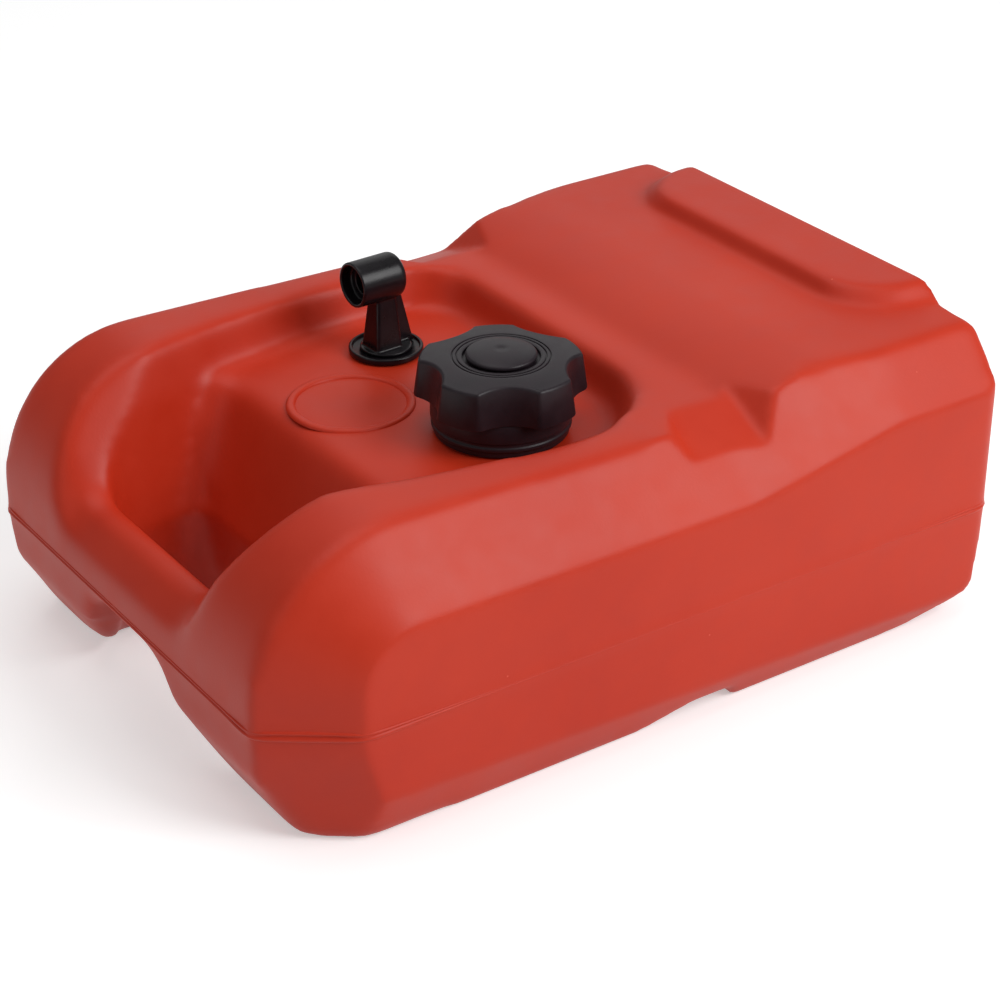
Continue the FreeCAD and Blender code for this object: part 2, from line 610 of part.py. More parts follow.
def cap_knob():
    body_top, rim_in = KNOB_RIM_Z - KNOB_EDGE, KNOB_DRAFT + KNOB_EDGE
    shape = Part.makeLoft([knob_layer(0, KNOB_Z), knob_layer(KNOB_DRAFT, body_top)], True, True)
    bevel = Part.makeLoft([knob_layer(KNOB_DRAFT, body_top), knob_layer(rim_in, KNOB_RIM_Z)], True, True)
    prism = Part.Face(knob_layer(rim_in, body_top)).extrude(V(0, 0, KNOB_TOP_Z + 1 - body_top))
    crown = turned(CAP_X, CAP_Y, [
        (0, body_top), (KNOB_R - rim_in, body_top), (KNOB_R - rim_in, KNOB_RIM_Z), (BAND_R + 1.2, KNOB_TOP_Z),
        (0, KNOB_TOP_Z)])
    shape = shape.fuse(bevel).fuse(crown.common(prism))
    roof = KNOB_TOP_Z - KNOB_ROOF
    shape = shape.cut(cylinder(CAP_X, CAP_Y, KNOB_CORE_R, KNOB_Z - 1, KNOB_CORE_Z))
    shape = shape.cut(cylinder(CAP_X, CAP_Y, KNOB_HOLLOW_R, KNOB_Z, roof))
    hub_low = CLIP_Z - 2.0
    shape = shape.fuse(turned(CAP_X, CAP_Y, [
        (COLLAR_R + 0.2, hub_low), (21.0, hub_low), (21.0, roof + 0.5), (18.4, roof + 0.5),
        (18.4, CLIP_Z - 0.15), (COLLAR_R + 0.2, CLIP_Z - 0.15)]))
    shape = shape.cut(cylinder(CAP_X, CAP_Y, DISC_R - 2, roof - 1, KNOB_TOP_Z + 1))
    band = tube(CAP_X, CAP_Y, BAND_R, BAND_R - 1.4, KNOB_TOP_Z - 0.6, KNOB_TOP_Z + 1)
    return shape.cut(band)


def cap_disc():
    """Cover snapped into the knob over the vent."""
    low, top = KNOB_TOP_Z + SLIP, KNOB_TOP_Z + DISC_HIGH
    spigot = DISC_R - 2 - SLIP
    return turned(CAP_X, CAP_Y, [
        (spigot - 1.4, KNOB_TOP_Z - KNOB_ROOF - 1), (spigot, KNOB_TOP_Z - KNOB_ROOF - 1), (spigot, low),
        (DISC_R, low), (DISC_R, top - 0.8), (DISC_R - 1.2, top), (0, top), (0, low), (spigot - 1.4, low)])


def cap_clip():
    ring_low, ring_high = CLIP_Z + 0.03, CLIP_Z + 0.03 + CLIP_THICK
    shape = tube(CAP_X, CAP_Y, COLLAR_R + 2.6, COLLAR_R - 1.2 + SLIP, ring_low, ring_high)
    return shape.cut(Part.makeBox(30, 5, 4, V(CAP_X, CAP_Y - 2.5, ring_low - 1)))


def vent_housing():
    return turned(CAP_X, CAP_Y, [
        (VENT_PORT_R, VENT_LOW_Z), (VENT_R, VENT_LOW_Z), (VENT_R, BOSS_Z + SLIP),
        (VENT_FLANGE_R, BOSS_Z + SLIP), (VENT_FLANGE_R, VENT_TOP_Z), (VENT_BORE_R, VENT_TOP_Z),
        (VENT_BORE_R, VENT_LOW_Z + VENT_FLOOR), (VENT_PORT_R, VENT_LOW_Z + VENT_FLOOR)])


def seat_z():
    return VENT_LOW_Z + VENT_FLOOR


def poppet_low_z():
    return seat_z() + SLIP + SEAL_THICK


def vent_poppet():
    low = poppet_low_z()
    shape = turned(CAP_X, CAP_Y, [
        (1.3, low), (POPPET_R, low), (POPPET_R, low + POPPET_THICK), (SPRING_R - 0.9, low + POPPET_THICK),
        (SPRING_R - 1.4, low + POPPET_THICK + 2), (2.6, low + POPPET_THICK + 2),
        (2.6, low + POPPET_THICK - 0.4), (1.3, low + POPPET_THICK - 0.4)])
    for k in range(3):
        angle = 2 * math.pi * k / 3
        x, y = CAP_X + 2.1 * math.cos(angle), CAP_Y + 2.1 * math.sin(angle)
        shape = shape.cut(cylinder(x, y, 0.4, low - 1, low + POPPET_THICK))
    return shape


def poppet_seal():
    return tube(CAP_X, CAP_Y, POPPET_R - 0.5, VENT_PORT_R + 0.3, seat_z() + SLIP, poppet_low_z())


def vacuum_valve():
    """Rubber mushroom under the poppet."""
    low = poppet_low_z()
    return turned(CAP_X, CAP_Y, [
        (0, low - 0.9), (2.9, low - 0.5), (2.9, low - SLIP), (1.3 - SLIP, low - SLIP),
        (1.3 - SLIP, low + POPPET_THICK - 0.4 + SLIP), (2.0, low + POPPET_THICK - 0.4 + SLIP),
        (1.0, low + POPPET_THICK + 1.2), (0, low + POPPET_THICK + 1.2)])


def spring_low_z():
    return poppet_low_z() + POPPET_THICK + SPRING_WIRE_R + SLIP


def vent_cover_z():
    return VENT_TOP_Z - 2.4


def vent_spring():
    high = vent_cover_z() - SPRING_WIRE_R - SLIP
    low = spring_low_z()
    helix = Part.Wire(Part.makeHelix((high - low) / SPRING_TURNS, high - low, SPRING_R).Edges)
    ring = Part.Wire(Part.makeCircle(SPRING_WIRE_R, V(SPRING_R, 0, 0), V(0, 1, 0)))
    coil = helix.makePipeShell([ring], True, True)
    coil.translate(V(CAP_X, CAP_Y, low))
    return coil


def vent_cover():
    """Perforated plug that holds the spring down."""
    shape = cylinder(CAP_X, CAP_Y, VENT_BORE_R - SLIP, vent_cover_z(), VENT_TOP_Z)
    for k in range(4):
        angle = math.pi * k / 2
        x, y = CAP_X + 3.0 * math.cos(angle), CAP_Y + 3.0 * math.sin(angle)
        shape = shape.cut(cylinder(x, y, 0.9, vent_cover_z() - 1, VENT_TOP_Z + 1))
    return shape


def splash_baffle():
    floor_z = BAFFLE_LOW_Z + 1.4
    shape = turned(CAP_X, CAP_Y, [
        (2.4, BAFFLE_LOW_Z), (BAFFLE_R, BAFFLE_LOW_Z), (BAFFLE_R, VENT_LOW_Z + 5),
        (VENT_R + SLIP, VENT_LOW_Z + 5), (VENT_R + SLIP, floor_z), (2.4, floor_z)])
    for k in range(4):
        angle = math.pi * (k + 0.5) / 2
        x, y = CAP_X + 6.2 * math.cos(angle), CAP_Y + 6.2 * math.sin(angle)
        shape = shape.cut(cylinder(x, y, 1.5, BAFFLE_LOW_Z - 1, floor_z + 1))
    return shape


def neck_gasket():
    return tube(CAP_X, CAP_Y, NECK_R + 1.8, NECK_BORE_R - 0.5, NECK_TOP + SLIP, PLATE_LOW_Z)


def eye_z():
    return BAFFLE_LOW_Z - 0.3 - TETHER_THICK


def tether_button():
    """Rivet that the tether's eye turns on."""
    floor_z = BAFFLE_LOW_Z + 1.4
    low = eye_z() - 0.3
    return turned(CAP_X, CAP_Y, [
        (0, low - 1.4), (4.6, low - 1.4), (4.6, low), (2.3, low), (2.3, floor_z + SLIP),
        (3.6, floor_z + SLIP), (2.4, floor_z + 1.2), (0, floor_z + 1.2)])


def toggle_spot():
    """Where the toggle's axis crosses the middle of the band: x and z."""
    return CAP_X - TETHER_REACH + TETHER_THICK / 2, eye_z() + TETHER_THICK - TETHER_DROP - TOGGLE_R


def tether_strap():
    """Eye, a bend, and the band that hangs down to the toggle."""
    low, edge_y, end_x = eye_z(), CAP_Y - TETHER_WIDE / 2, CAP_X - TETHER_REACH
    loop_x, loop_z = toggle_spot()
    shape = cylinder(CAP_X, CAP_Y, 5.2, low, low + TETHER_THICK)
    shape = shape.fuse(Part.makeBox(TETHER_REACH, TETHER_WIDE, TETHER_THICK, V(end_x, edge_y, low)))
    shape = shape.fuse(Part.makeBox(TETHER_THICK, TETHER_WIDE, TETHER_DROP,
                                    V(end_x, edge_y, low + TETHER_THICK - TETHER_DROP)))
    shape = shape.fuse(across(loop_x, loop_z, TOGGLE_R + 1.6, TETHER_WIDE))
    shape = shape.cut(cylinder(CAP_X, CAP_Y, 2.7, low - 1, low + TETHER_THICK + 1))
    return shape.cut(across(loop_x, loop_z, TOGGLE_R - 0.6 + SLIP, TETHER_WIDE + 2))


def across(x, z, r, long):
    """Cylinder along Y, centred on the cap's axis plane."""
    return Part.makeCylinder(r, long, V(x, CAP_Y - long / 2, z), V(0, 1, 0))


def tether_toggle():
    """Bar wider than the neck, so that the cap can't be lost."""
    x, z = toggle_spot()
    waist = TETHER_WIDE + 2 * SLIP
    groove = across(x, z, TOGGLE_R + 1, waist).cut(across(x, z, TOGGLE_R - 0.6, waist))
    return across(x, z, TOGGLE_R, TOGGLE_LONG).cut(groove)


def pickup_gasket():
    return tube(PICK_X, PICK_Y, PICK_BOSS_R, PICK_HOLE_R + 0.6, PLATFORM_Z, PLATFORM_Z + 0.8)


def pickup_flange():
    low = PLATFORM_Z + 0.8
    spigot = PICK_HOLE_R - 0.15
    bore = JOURNAL_R + JOURNAL_GAP
    return turned(PICK_X, PICK_Y, [
        (bore, SPIGOT_LOW_Z), (spigot - 0.8, SPIGOT_LOW_Z), (spigot, SPIGOT_LOW_Z + 0.8), (spigot, low),
        (FLANGE_R - 0.5, low), (FLANGE_R, low + 0.6), (FLANGE_R, FLANGE_RIM_Z - 0.5),
        (FLANGE_R - 0.5, FLANGE_RIM_Z), (FLANGE_R - FLANGE_RIM + 0.4, FLANGE_RIM_Z),
        (FLANGE_R - FLANGE_RIM, FLANGE_Z), (bore, FLANGE_Z)])


def towards_port(shape):
    shape.rotate(V(PICK_X, PICK_Y, 0), V(0, 0, 1), BARREL_TURN)
    return shape


def barrel():
    """Turned about the port's axis from (distance along it, radius) corners, round at its closed end."""
    def spot(along, r):
        return V(PICK_X + along, PICK_Y, BARREL_Z + r)
    shoulder = BARREL_END * (1 - math.sqrt(0.5))
    seat = BARREL_FRONT - MOUTH_DEEP
    bottom = seat - PORT_LONG
    lines = [(-BARREL_REAR + BARREL_END, BARREL_R), (BARREL_FRONT, BARREL_R), (BARREL_FRONT, MOUTH_R),
             (seat, MOUTH_R), (seat, PORT_R), (bottom, PORT_R), (bottom, 0), (-BARREL_REAR, 0),
             (-BARREL_REAR, BARREL_R - BARREL_END)]
    edges = [Part.LineSegment(spot(*a), spot(*b)).toShape() for a, b in zip(lines, lines[1:])]
    edges.append(Part.Arc(spot(*lines[-1]), spot(-BARREL_REAR + shoulder, BARREL_R - shoulder),
                          spot(*lines[0])).toShape())
    return Part.Face(Part.Wire(edges)).revolve(spot(0, 0), V(1, 0, 0), 360)


def pickup_elbow():
    """Journal, foot plate, tapered post, rib, and the barrel with the port; built along +X, then turned."""
    foot_z = FLANGE_Z + 0.25
    shape = cylinder(PICK_X, PICK_Y, JOURNAL_R, JOURNAL_LOW_Z, foot_z + 1)
    shape = shape.fuse(cylinder(PICK_X, PICK_Y, BASE_R, foot_z, foot_z + BASE_HIGH))
    def block(front, rear, wide):
        return [(PICK_X - rear, PICK_Y - wide / 2, 1.8), (PICK_X + front, PICK_Y - wide / 2, 1.8),
                (PICK_X + front, PICK_Y + wide / 2, 1.8), (PICK_X - rear, PICK_Y + wide / 2, 1.8)]
    shape = shape.fuse(bridge(block(FOOT_FRONT, FOOT_REAR, FOOT_WIDE), on_level(foot_z),
                              block(POST_FRONT, POST_REAR, POST_WIDE), on_level(BARREL_Z - MOUTH_R)))
    side = [(PICK_X - RIB_FOOT, foot_z, 0), (PICK_X, foot_z, 0), (PICK_X, BARREL_Z - MOUTH_R, 0),
            (PICK_X - RIB_TOP + 2, BARREL_Z - MOUTH_R, 0), (PICK_X - RIB_TOP, BARREL_Z - BARREL_R, 0)]
    shape = shape.fuse(slab(side, on_side(PICK_Y - RIB_THICK / 2), V(0, RIB_THICK, 0)))
    shape = shape.fuse(barrel())
    shape = shape.cut(cylinder(PICK_X, PICK_Y, PASSAGE_R, JOURNAL_LOW_Z - 1, BARREL_Z))
    shape = shape.cut(cylinder(PICK_X, PICK_Y, TUBE_R + SLIP, JOURNAL_LOW_Z - 1, SPIGOT_LOW_Z + 1))
    for z in RING_Z:
        shape = shape.cut(tube(PICK_X, PICK_Y, JOURNAL_R + 1, JOURNAL_R - 2 * RING_WIRE_R - 0.1 + JOURNAL_GAP,
                               z - RING_WIRE_R - 0.2, z + RING_WIRE_R + 0.2))
    groove_z = SPIGOT_LOW_Z - 1.4
    shape = shape.cut(tube(PICK_X, PICK_Y, JOURNAL_R + 1, JOURNAL_R - 1.2, groove_z, groove_z + 1.2))
    return towards_port(shape)


def pickup_orings():
    rings = [Part.makeTorus(JOURNAL_R + JOURNAL_GAP - SLIP - RING_WIRE_R, RING_WIRE_R, V(PICK_X, PICK_Y, z))
             for z in RING_Z]
    return Part.makeCompound(rings)


def pickup_clip():
    low = SPIGOT_LOW_Z - 1.4 + SLIP
    shape = tube(PICK_X, PICK_Y, JOURNAL_R + 2.4, JOURNAL_R - 1.2 + SLIP, low, low + 1.1)
    return towards_port(shape.cut(Part.makeBox(20, 4, 4, V(PICK_X, PICK_Y - 2, low - 1))))


def dip_tube():
    return tube(PICK_X, PICK_Y, TUBE_R, TUBE_R - TUBE_WALL, TUBE_LOW_Z, SPIGOT_LOW_Z + 1 - SLIP)


def pickup_strainer():
    """Slotted cage pushed on the end of the tube."""
    inner = STRAINER_R - 1.2
    shape = turned(PICK_X, PICK_Y, [
        (0, STRAINER_LOW_Z), (STRAINER_R, STRAINER_LOW_Z), (STRAINER_R, STRAINER_Z - 8),
        (TUBE_R + 1.4, STRAINER_Z - 6), (TUBE_R + 1.4, STRAINER_Z), (TUBE_R + SLIP, STRAINER_Z),
        (TUBE_R + SLIP, STRAINER_Z - 9), (inner, STRAINER_Z - 10), (inner, STRAINER_LOW_Z + 1.4),
        (0, STRAINER_LOW_Z + 1.4)])
    low, high = STRAINER_LOW_Z + 2.6, STRAINER_Z - 11
    for k in range(5):
        window = Part.makeBox(2 * STRAINER_R + 2, 1.6, high - low,
                              V(PICK_X - STRAINER_R - 1, PICK_Y - 0.8, low))
        window.rotate(V(PICK_X, PICK_Y, 0), V(0, 0, 1), 36 * k)
        shape = shape.cut(window)
    return shape


nodes = [
    tank_shell, pickup_gasket, pickup_flange, pickup_elbow, pickup_orings, pickup_clip, dip_tube,
    pickup_strainer, cap_core, ratchet_ring, cap_knob, cap_disc, cap_clip, neck_gasket, vent_housing,
    vent_poppet, poppet_seal, vacuum_valve, vent_spring, vent_cover, splash_baffle, tether_button,
    tether_strap, tether_toggle,
]
for make in nodes:
    shape = make()
    shape.exportStep("parts/%s.step" % make.__name__)
    print(make.__name__, shape.isValid(), len(shape.Solids), round(shape.Volume / 1000, 3))
print("inside, litres", body(-WALL).Volume / 1e6)
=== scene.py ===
"""Portable outboard fuel tank: its visible pieces, finishes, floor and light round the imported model."""

import json
import math

import bmesh
import bpy
from mathutils import Matrix, Vector
from mathutils.bvhtree import BVHTree


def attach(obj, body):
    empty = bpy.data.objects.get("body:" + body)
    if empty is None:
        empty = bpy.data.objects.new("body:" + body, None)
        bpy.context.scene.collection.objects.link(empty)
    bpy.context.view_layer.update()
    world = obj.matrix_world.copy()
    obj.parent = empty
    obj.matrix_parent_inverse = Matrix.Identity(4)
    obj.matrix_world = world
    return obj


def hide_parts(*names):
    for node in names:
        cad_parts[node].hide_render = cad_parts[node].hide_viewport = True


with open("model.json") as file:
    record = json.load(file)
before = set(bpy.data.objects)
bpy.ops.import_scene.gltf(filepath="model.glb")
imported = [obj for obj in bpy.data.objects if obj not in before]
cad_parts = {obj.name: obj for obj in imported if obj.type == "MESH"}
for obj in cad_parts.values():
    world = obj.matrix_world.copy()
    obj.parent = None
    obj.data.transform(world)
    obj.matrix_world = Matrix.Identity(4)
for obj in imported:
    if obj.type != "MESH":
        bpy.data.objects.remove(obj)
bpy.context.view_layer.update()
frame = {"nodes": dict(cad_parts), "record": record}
scene = bpy.context.scene

MM = 0.001
WELD = 1e-6     # metres within which points are merged

# places shared with the construction, in millimetres: -X is the handle's end, -Y the cap's side
SEAM_Z = 60.6
PLATFORM_Z = 120.0
CAP_X, CAP_Y = -18.5, -41.5
GAUGE_X, GAUGE_Y = -63.0, 21.0
PICK_X, PICK_Y = -18.5, 60.0


# ------------------------------------------------------------------ finishes

class Value:
    """One output of a node; arithmetic on it adds Math nodes."""

    def __init__(self, nodes, socket):
        self.nodes, self.socket = nodes, socket

    def _with(self, operation, first, second):
        return self.nodes.add("ShaderNodeMath", {"operation": operation}, {0: first, 1: second})

    def __add__(self, other):
        return self._with("ADD", self, other)

    def __radd__(self, other):
        return self._with("ADD", other, self)

    def __mul__(self, other):
        return self._with("MULTIPLY", self, other)

    def __rmul__(self, other):
        return self._with("MULTIPLY", other, self)

    def or_more(self, other):
        """The larger of two values."""
        return self._with("MAXIMUM", self, other)


class Nodes:
    """A node tree under construction, with the node that it ends in."""

    def __init__(self, tree, end):
        tree.nodes.clear()
        self.tree = tree
        self.end = tree.nodes.new(end)

    def add(self, kind, settings=None, inputs=None, output=0):
        """A node, with its settings first, then the numbers or links of its sockets."""
        node = self.tree.nodes.new(kind)
        for key, value in (settings or {}).items():
            setattr(node, key, value)
        for key, value in (inputs or {}).items():
            if isinstance(value, Value):
                self.tree.links.new(value.socket, node.inputs[key])
            else:
                node.inputs[key].default_value = value
        return Value(self, node.outputs[output])

    def show(self, shader):
        self.tree.links.new(shader.socket, self.end.inputs["Surface"])


class Finish(Nodes):
    """A material under construction."""

    MIX_A, MIX_B, MIX_RESULT = 6, 7, 2      # a Mix node's colour sockets, whose names repeat

    def __init__(self, name):
        self.material = bpy.data.materials.new(name)
        self.material.use_nodes = True
        super().__init__(self.material.node_tree, "ShaderNodeOutputMaterial")

    def place(self):
        return self.add("ShaderNodeTexCoord", output="Object")

    def noise(self, scale, detail=2.0):
        return self.add("ShaderNodeTexNoise", None,
                        {"Vector": self.place(), "Scale": scale, "Detail": detail})

    def dots(self, scale):
        """Distance to the nearest of many scattered points."""
        return self.add("ShaderNodeTexVoronoi", {"feature": "F1"}, {"Vector": self.place(), "Scale": scale})

    def mixed(self, share, first, second):
        return self.add("ShaderNodeMix", {"data_type": "RGBA"},
                        {"Factor": share, self.MIX_A: first, self.MIX_B: second}, output=self.MIX_RESULT)

    def between(self, value, none, full):
        """0 where the value is at none, 1 where it is at full."""
        return self.add("ShaderNodeMapRange", {"clamp": True},
                        {"Value": value, "From Min": none, "From Max": full})

    def bump(self, height, strength, distance, normal=None):
        inputs = {"Height": height, "Strength": strength, "Distance": distance}
        if normal is not None:
            inputs["Normal"] = normal
        return self.add("ShaderNodeBump", None, inputs)

    def surface(self, **inputs):
        """The finished material; an underscore stands for the space in a socket's name."""
        sockets = {name.replace("_", " "): value for name, value in inputs.items()}
        self.show(self.add("ShaderNodeBsdfPrincipled", None, sockets))
        return self.material


def tank_plastic():
    """Blow-moulded red polyethylene: cloudy colour, a few pale nibs, fine grain and a slow ripple."""
    finish = Finish("red polyethylene")
    broad = finish.between(finish.noise(7.0), 0.35, 0.65)
    cloudy = finish.between(finish.noise(60.0, 3.0), 0.3, 0.7)
    colour = finish.mixed(broad * 0.6 + cloudy * 0.25, (0.50, 0.026, 0.007, 1), (0.58, 0.038, 0.012, 1))
    patches = finish.between(finish.noise(11.0, 1.0), 0.56, 0.60)
    nibs = finish.between(finish.dots(60.0), 0.034, 0.022) * patches
    colour = finish.mixed(nibs * 0.5, colour, (0.75, 0.16, 0.10, 1))
    grain = finish.bump(finish.noise(900.0), 0.2, 0.0002)
    ripple = finish.bump(finish.noise(22.0, 1.0), 0.35, 0.0012, grain)
    return finish.surface(Base_Color=colour, Roughness=0.42 + cloudy * 0.06, Normal=ripple, IOR=1.36)


def cap_plastic():
    """Black plastic with the fine grain of the knob's mould."""
    finish = Finish("black cap plastic")
    cloudy = finish.between(finish.noise(120.0, 3.0), 0.3, 0.7)
    colour = finish.mixed(cloudy, (0.013, 0.009, 0.012, 1), (0.020, 0.013, 0.017, 1))
    grain = finish.bump(finish.noise(2600.0, 1.0), 0.25, 0.0001)
    return finish.surface(Base_Color=colour, Roughness=0.36 + cloudy * 0.08, Normal=grain, IOR=1.34)


def pickup_plastic():
    """Deep black, glossier plastic with a slight wave."""
    finish = Finish("black glossy plastic")
    cloudy = finish.between(finish.noise(90.0), 0.3, 0.7)
    colour = finish.mixed(cloudy, (0.004, 0.003, 0.004, 1), (0.007, 0.005, 0.007, 1))
    wave = finish.bump(finish.noise(160.0, 1.0), 0.15, 0.0002)
    return finish.surface(Base_Color=colour, Roughness=0.26 + cloudy * 0.06, Normal=wave, IOR=1.36)


def plain(name, colour, roughness, metallic=0.0):
    """A finish with cloudy colour and roughness alone."""
    finish = Finish(name)
    cloudy = finish.between(finish.noise(200.0), 0.3, 0.7)
    darker = tuple(0.85 * c for c in colour[:3]) + (1,)
    return finish.surface(Base_Color=finish.mixed(cloudy, darker, colour), Metallic=metallic,
                          Roughness=roughness + cloudy * 0.05)


finishes = {
    "tank_red": tank_plastic(),
    "cap_black": cap_plastic(),
    "pickup_black": pickup_plastic(),
    "seal_rubber": plain("black seal rubber", (0.02, 0.02, 0.02, 1), 0.7),
    "natural_plastic": plain("natural plastic", (0.66, 0.64, 0.56, 1), 0.45),
    "tube_black": plain("black tube plastic", (0.03, 0.03, 0.03, 1), 0.5),
    "spring_steel": plain("stainless wire", (0.60, 0.59, 0.57, 1), 0.28, 1.0),
}


# ------------------------------------------------------------------ shaping

def meshed(name, bm):
    """A mesh of a finished bmesh."""
    mesh = bpy.data.meshes.new(name)
    bm.to_mesh(mesh)
    bm.free()
    return mesh


def placed(name, data):
    """A new object in the scene."""
    thing = bpy.data.objects.new(name, data)
    scene.collection.objects.link(thing)
    return thing


def piece(name, bm, slot, body, stands_for=(), sharp=35.0):
    """Turns a finished bmesh into a piece of the object, shaded sharp past an angle in degrees."""
    bmesh.ops.recalc_face_normals(bm, faces=bm.faces)
    for face in bm.faces:
        face.smooth = True
    thing = placed(name, meshed(name, bm))
    thing.data.set_sharp_from_angle(angle=math.radians(sharp))
    thing.data.materials.append(finishes[slot])
    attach(thing, body)
    if stands_for:
        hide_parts(*stands_for)
    return thing


def welded(bm):
    """Merges the points of a bmesh that coincide."""
    bmesh.ops.remove_doubles(bm, verts=bm.verts, dist=WELD)
    return bm


def round_edges(bm, radius, degrees=30.0, segments=2):
    """Rounds every edge sharper than the angle."""
    sharp = [e for e in bm.edges
             if len(e.link_faces) == 2 and e.calc_face_angle(0.0) > math.radians(degrees)]
    bmesh.ops.bevel(bm, geom=sharp, offset=radius * MM, offset_type="OFFSET", segments=segments, profile=0.5,
                    affect="EDGES", clamp_overlap=True, material=-1)


def spun(corners, steps=96, closed=False):
    """Solid turned about +Z through the origin from (radius, height) corners in millimetres."""
    bm = bmesh.new()
    verts = [bm.verts.new((r * MM, 0, z * MM)) for r, z in corners]
    edges = [bm.edges.new(pair) for pair in zip(verts, verts[1:])]
    if closed:
        edges.append(bm.edges.new((verts[-1], verts[0])))
    bmesh.ops.spin(bm, geom=verts + edges, cent=(0, 0, 0), axis=(0, 0, 1), angle=math.tau, steps=steps,
                   use_merge=True, use_duplicate=False)
    welded(bm)
    bmesh.ops.recalc_face_normals(bm, faces=bm.faces)
    return bm


def lofted(layers):
    """Skin through closed rings of points in millimetres, with its last ring joined to its first."""
    bm = bmesh.new()
    verts = [bm.verts.new(Vector(point) * MM) for point in layers[0]]
    ring = [bm.edges.new(pair) for pair in zip(verts, verts[1:] + verts[:1])]
    for layer in layers[1:] + layers[:1]:
        grown = bmesh.ops.extrude_edge_only(bm, edges=ring)["geom"]
        verts = [g for g in grown if isinstance(g, bmesh.types.BMVert)]
        ring = [g for g in grown if isinstance(g, bmesh.types.BMEdge) and all(v in verts for v in g.verts)]
        for vert, point in zip(verts, layer):
            vert.co = Vector(point) * MM
    return welded(bm)


def box_loft(low, high):
    """Tapered block between two level rectangles (x0, x1, y0, y1, z) in millimetres."""
    bm = bmesh.new()
    edges = []
    for x0, x1, y0, y1, z in (low, high):
        corners = (x0, y0, z), (x1, y0, z), (x1, y1, z), (x0, y1, z)
        edges += bm.faces.new([bm.verts.new(Vector(corner) * MM) for corner in corners]).edges
    bmesh.ops.bridge_loops(bm, edges=edges)
    bmesh.ops.recalc_face_normals(bm, faces=bm.faces)
    return bm


def moved(bm, x, y, z=0.0):
    """Shifts a bmesh by millimetres."""
    bmesh.ops.translate(bm, verts=bm.verts, vec=Vector((x, y, z)) * MM)
    return bm


def turned(bm, degrees, axis):
    """Turns a bmesh about an axis through the origin."""
    turn = Matrix.Rotation(math.radians(degrees), 3, axis)
    bmesh.ops.rotate(bm, verts=bm.verts, cent=(0, 0, 0), matrix=turn)
    return bm


def joined(*parts):
    """One bmesh holding the shapes of several."""
    whole = bmesh.new()
    for part in parts:
        mesh = meshed("part", part)
        whole.from_mesh(mesh)
        bpy.data.meshes.remove(mesh)
    return whole


def fused(bm, voxel):
    """One skin round everything in a bmesh, on a grid of that size in millimetres."""
    mesh = meshed("rough", bm)
    rough = placed("rough", mesh)
    remesh = rough.modifiers.new("skin", "REMESH")
    remesh.mode, remesh.voxel_size, remesh.adaptivity = "VOXEL", voxel * MM, 0.0
    bpy.context.view_layer.update()
    skin = bpy.data.meshes.new_from_object(rough.evaluated_get(bpy.context.evaluated_depsgraph_get()))
    result = bmesh.new()
    result.from_mesh(skin)
    bpy.data.objects.remove(rough)
    bpy.data.meshes.remove(mesh)
    bpy.data.meshes.remove(skin)
    return result


def eased(bm, times, verts=None):
    """Smooths all of a bmesh, or the points given."""
    for _ in range(times):
        bmesh.ops.smooth_vert(bm, verts=bm.verts if verts is None else verts, factor=0.5,
                              use_axis_x=True, use_axis_y=True, use_axis_z=True)
    return bm


def past(value, start, run):
    """0 before the start, 1 after the run."""
    return max(0.0, min(1.0, (value - start) / run))


# ------------------------------------------------------------------ tank

# what stands on the platform and gets pieces of its own: radius, and between which heights
NECK_SPACE = 30, 100, 140
BOSS_SPACE = 12, 90, 121
GAUGE_SPACE = 32, 119, 123

SKIN_GRID = 2.3
FOOT_X, FOOT_Y, FOOT_Z = -120.0, 60.0, 32.0     # the front feet lie ahead of, outside and below these
BROW_FRONT, BROW_REAR, BROW_HALF, BROW_LOW = -120.0, -82.0, 80.0, 60.0


def within(face, x, y, radius, low, high):
    """Whether a face lies inside an upright cylinder."""
    return all(math.hypot(v.co.x - x * MM, v.co.y - y * MM) < radius * MM and low * MM < v.co.z < high * MM
               for v in face.verts)


def tank_outside():
    """The outer skin of the tank's solid, without neck, boss and gauge ring."""
    bm = bmesh.new()
    bm.from_mesh(frame["nodes"]["tank_shell"].data)
    welded(bm)

    def level(face):
        return all(abs(v.co.z - PLATFORM_Z * MM) < 1e-5 for v in face.verts)

    def raised(face):
        return any(v.co.z > (PLATFORM_Z + 0.1) * MM for v in face.verts)

    spare = [f for f in bm.faces
             if within(f, CAP_X, CAP_Y, *NECK_SPACE) and not level(f)
             or within(f, PICK_X, PICK_Y, *BOSS_SPACE)
             or within(f, GAUGE_X, GAUGE_Y, *GAUGE_SPACE) and raised(f)]
    bmesh.ops.delete(bm, geom=spare, context="FACES")

    # what hangs together with the foremost point is the outside; the rest is the inner wall
    start = min((v for v in bm.verts if v.link_faces), key=lambda v: (v.co.x, v.co.y))
    outside, front = {start}, [start]
    while front:
        vert = front.pop()
        for edge in vert.link_edges:
            other = edge.other_vert(vert)
            if edge.link_faces and other not in outside:
                outside.add(other)
                front.append(other)
    bmesh.ops.delete(bm, geom=[v for v in bm.verts if v not in outside], context="VERTS")
    rims = [e for e in bm.edges if len(e.link_faces) == 1]
    bmesh.ops.holes_fill(bm, edges=rims, sides=0)
    bmesh.ops.triangulate(bm, faces=[f for f in bm.faces if len(f.verts) > 4])
    return bm


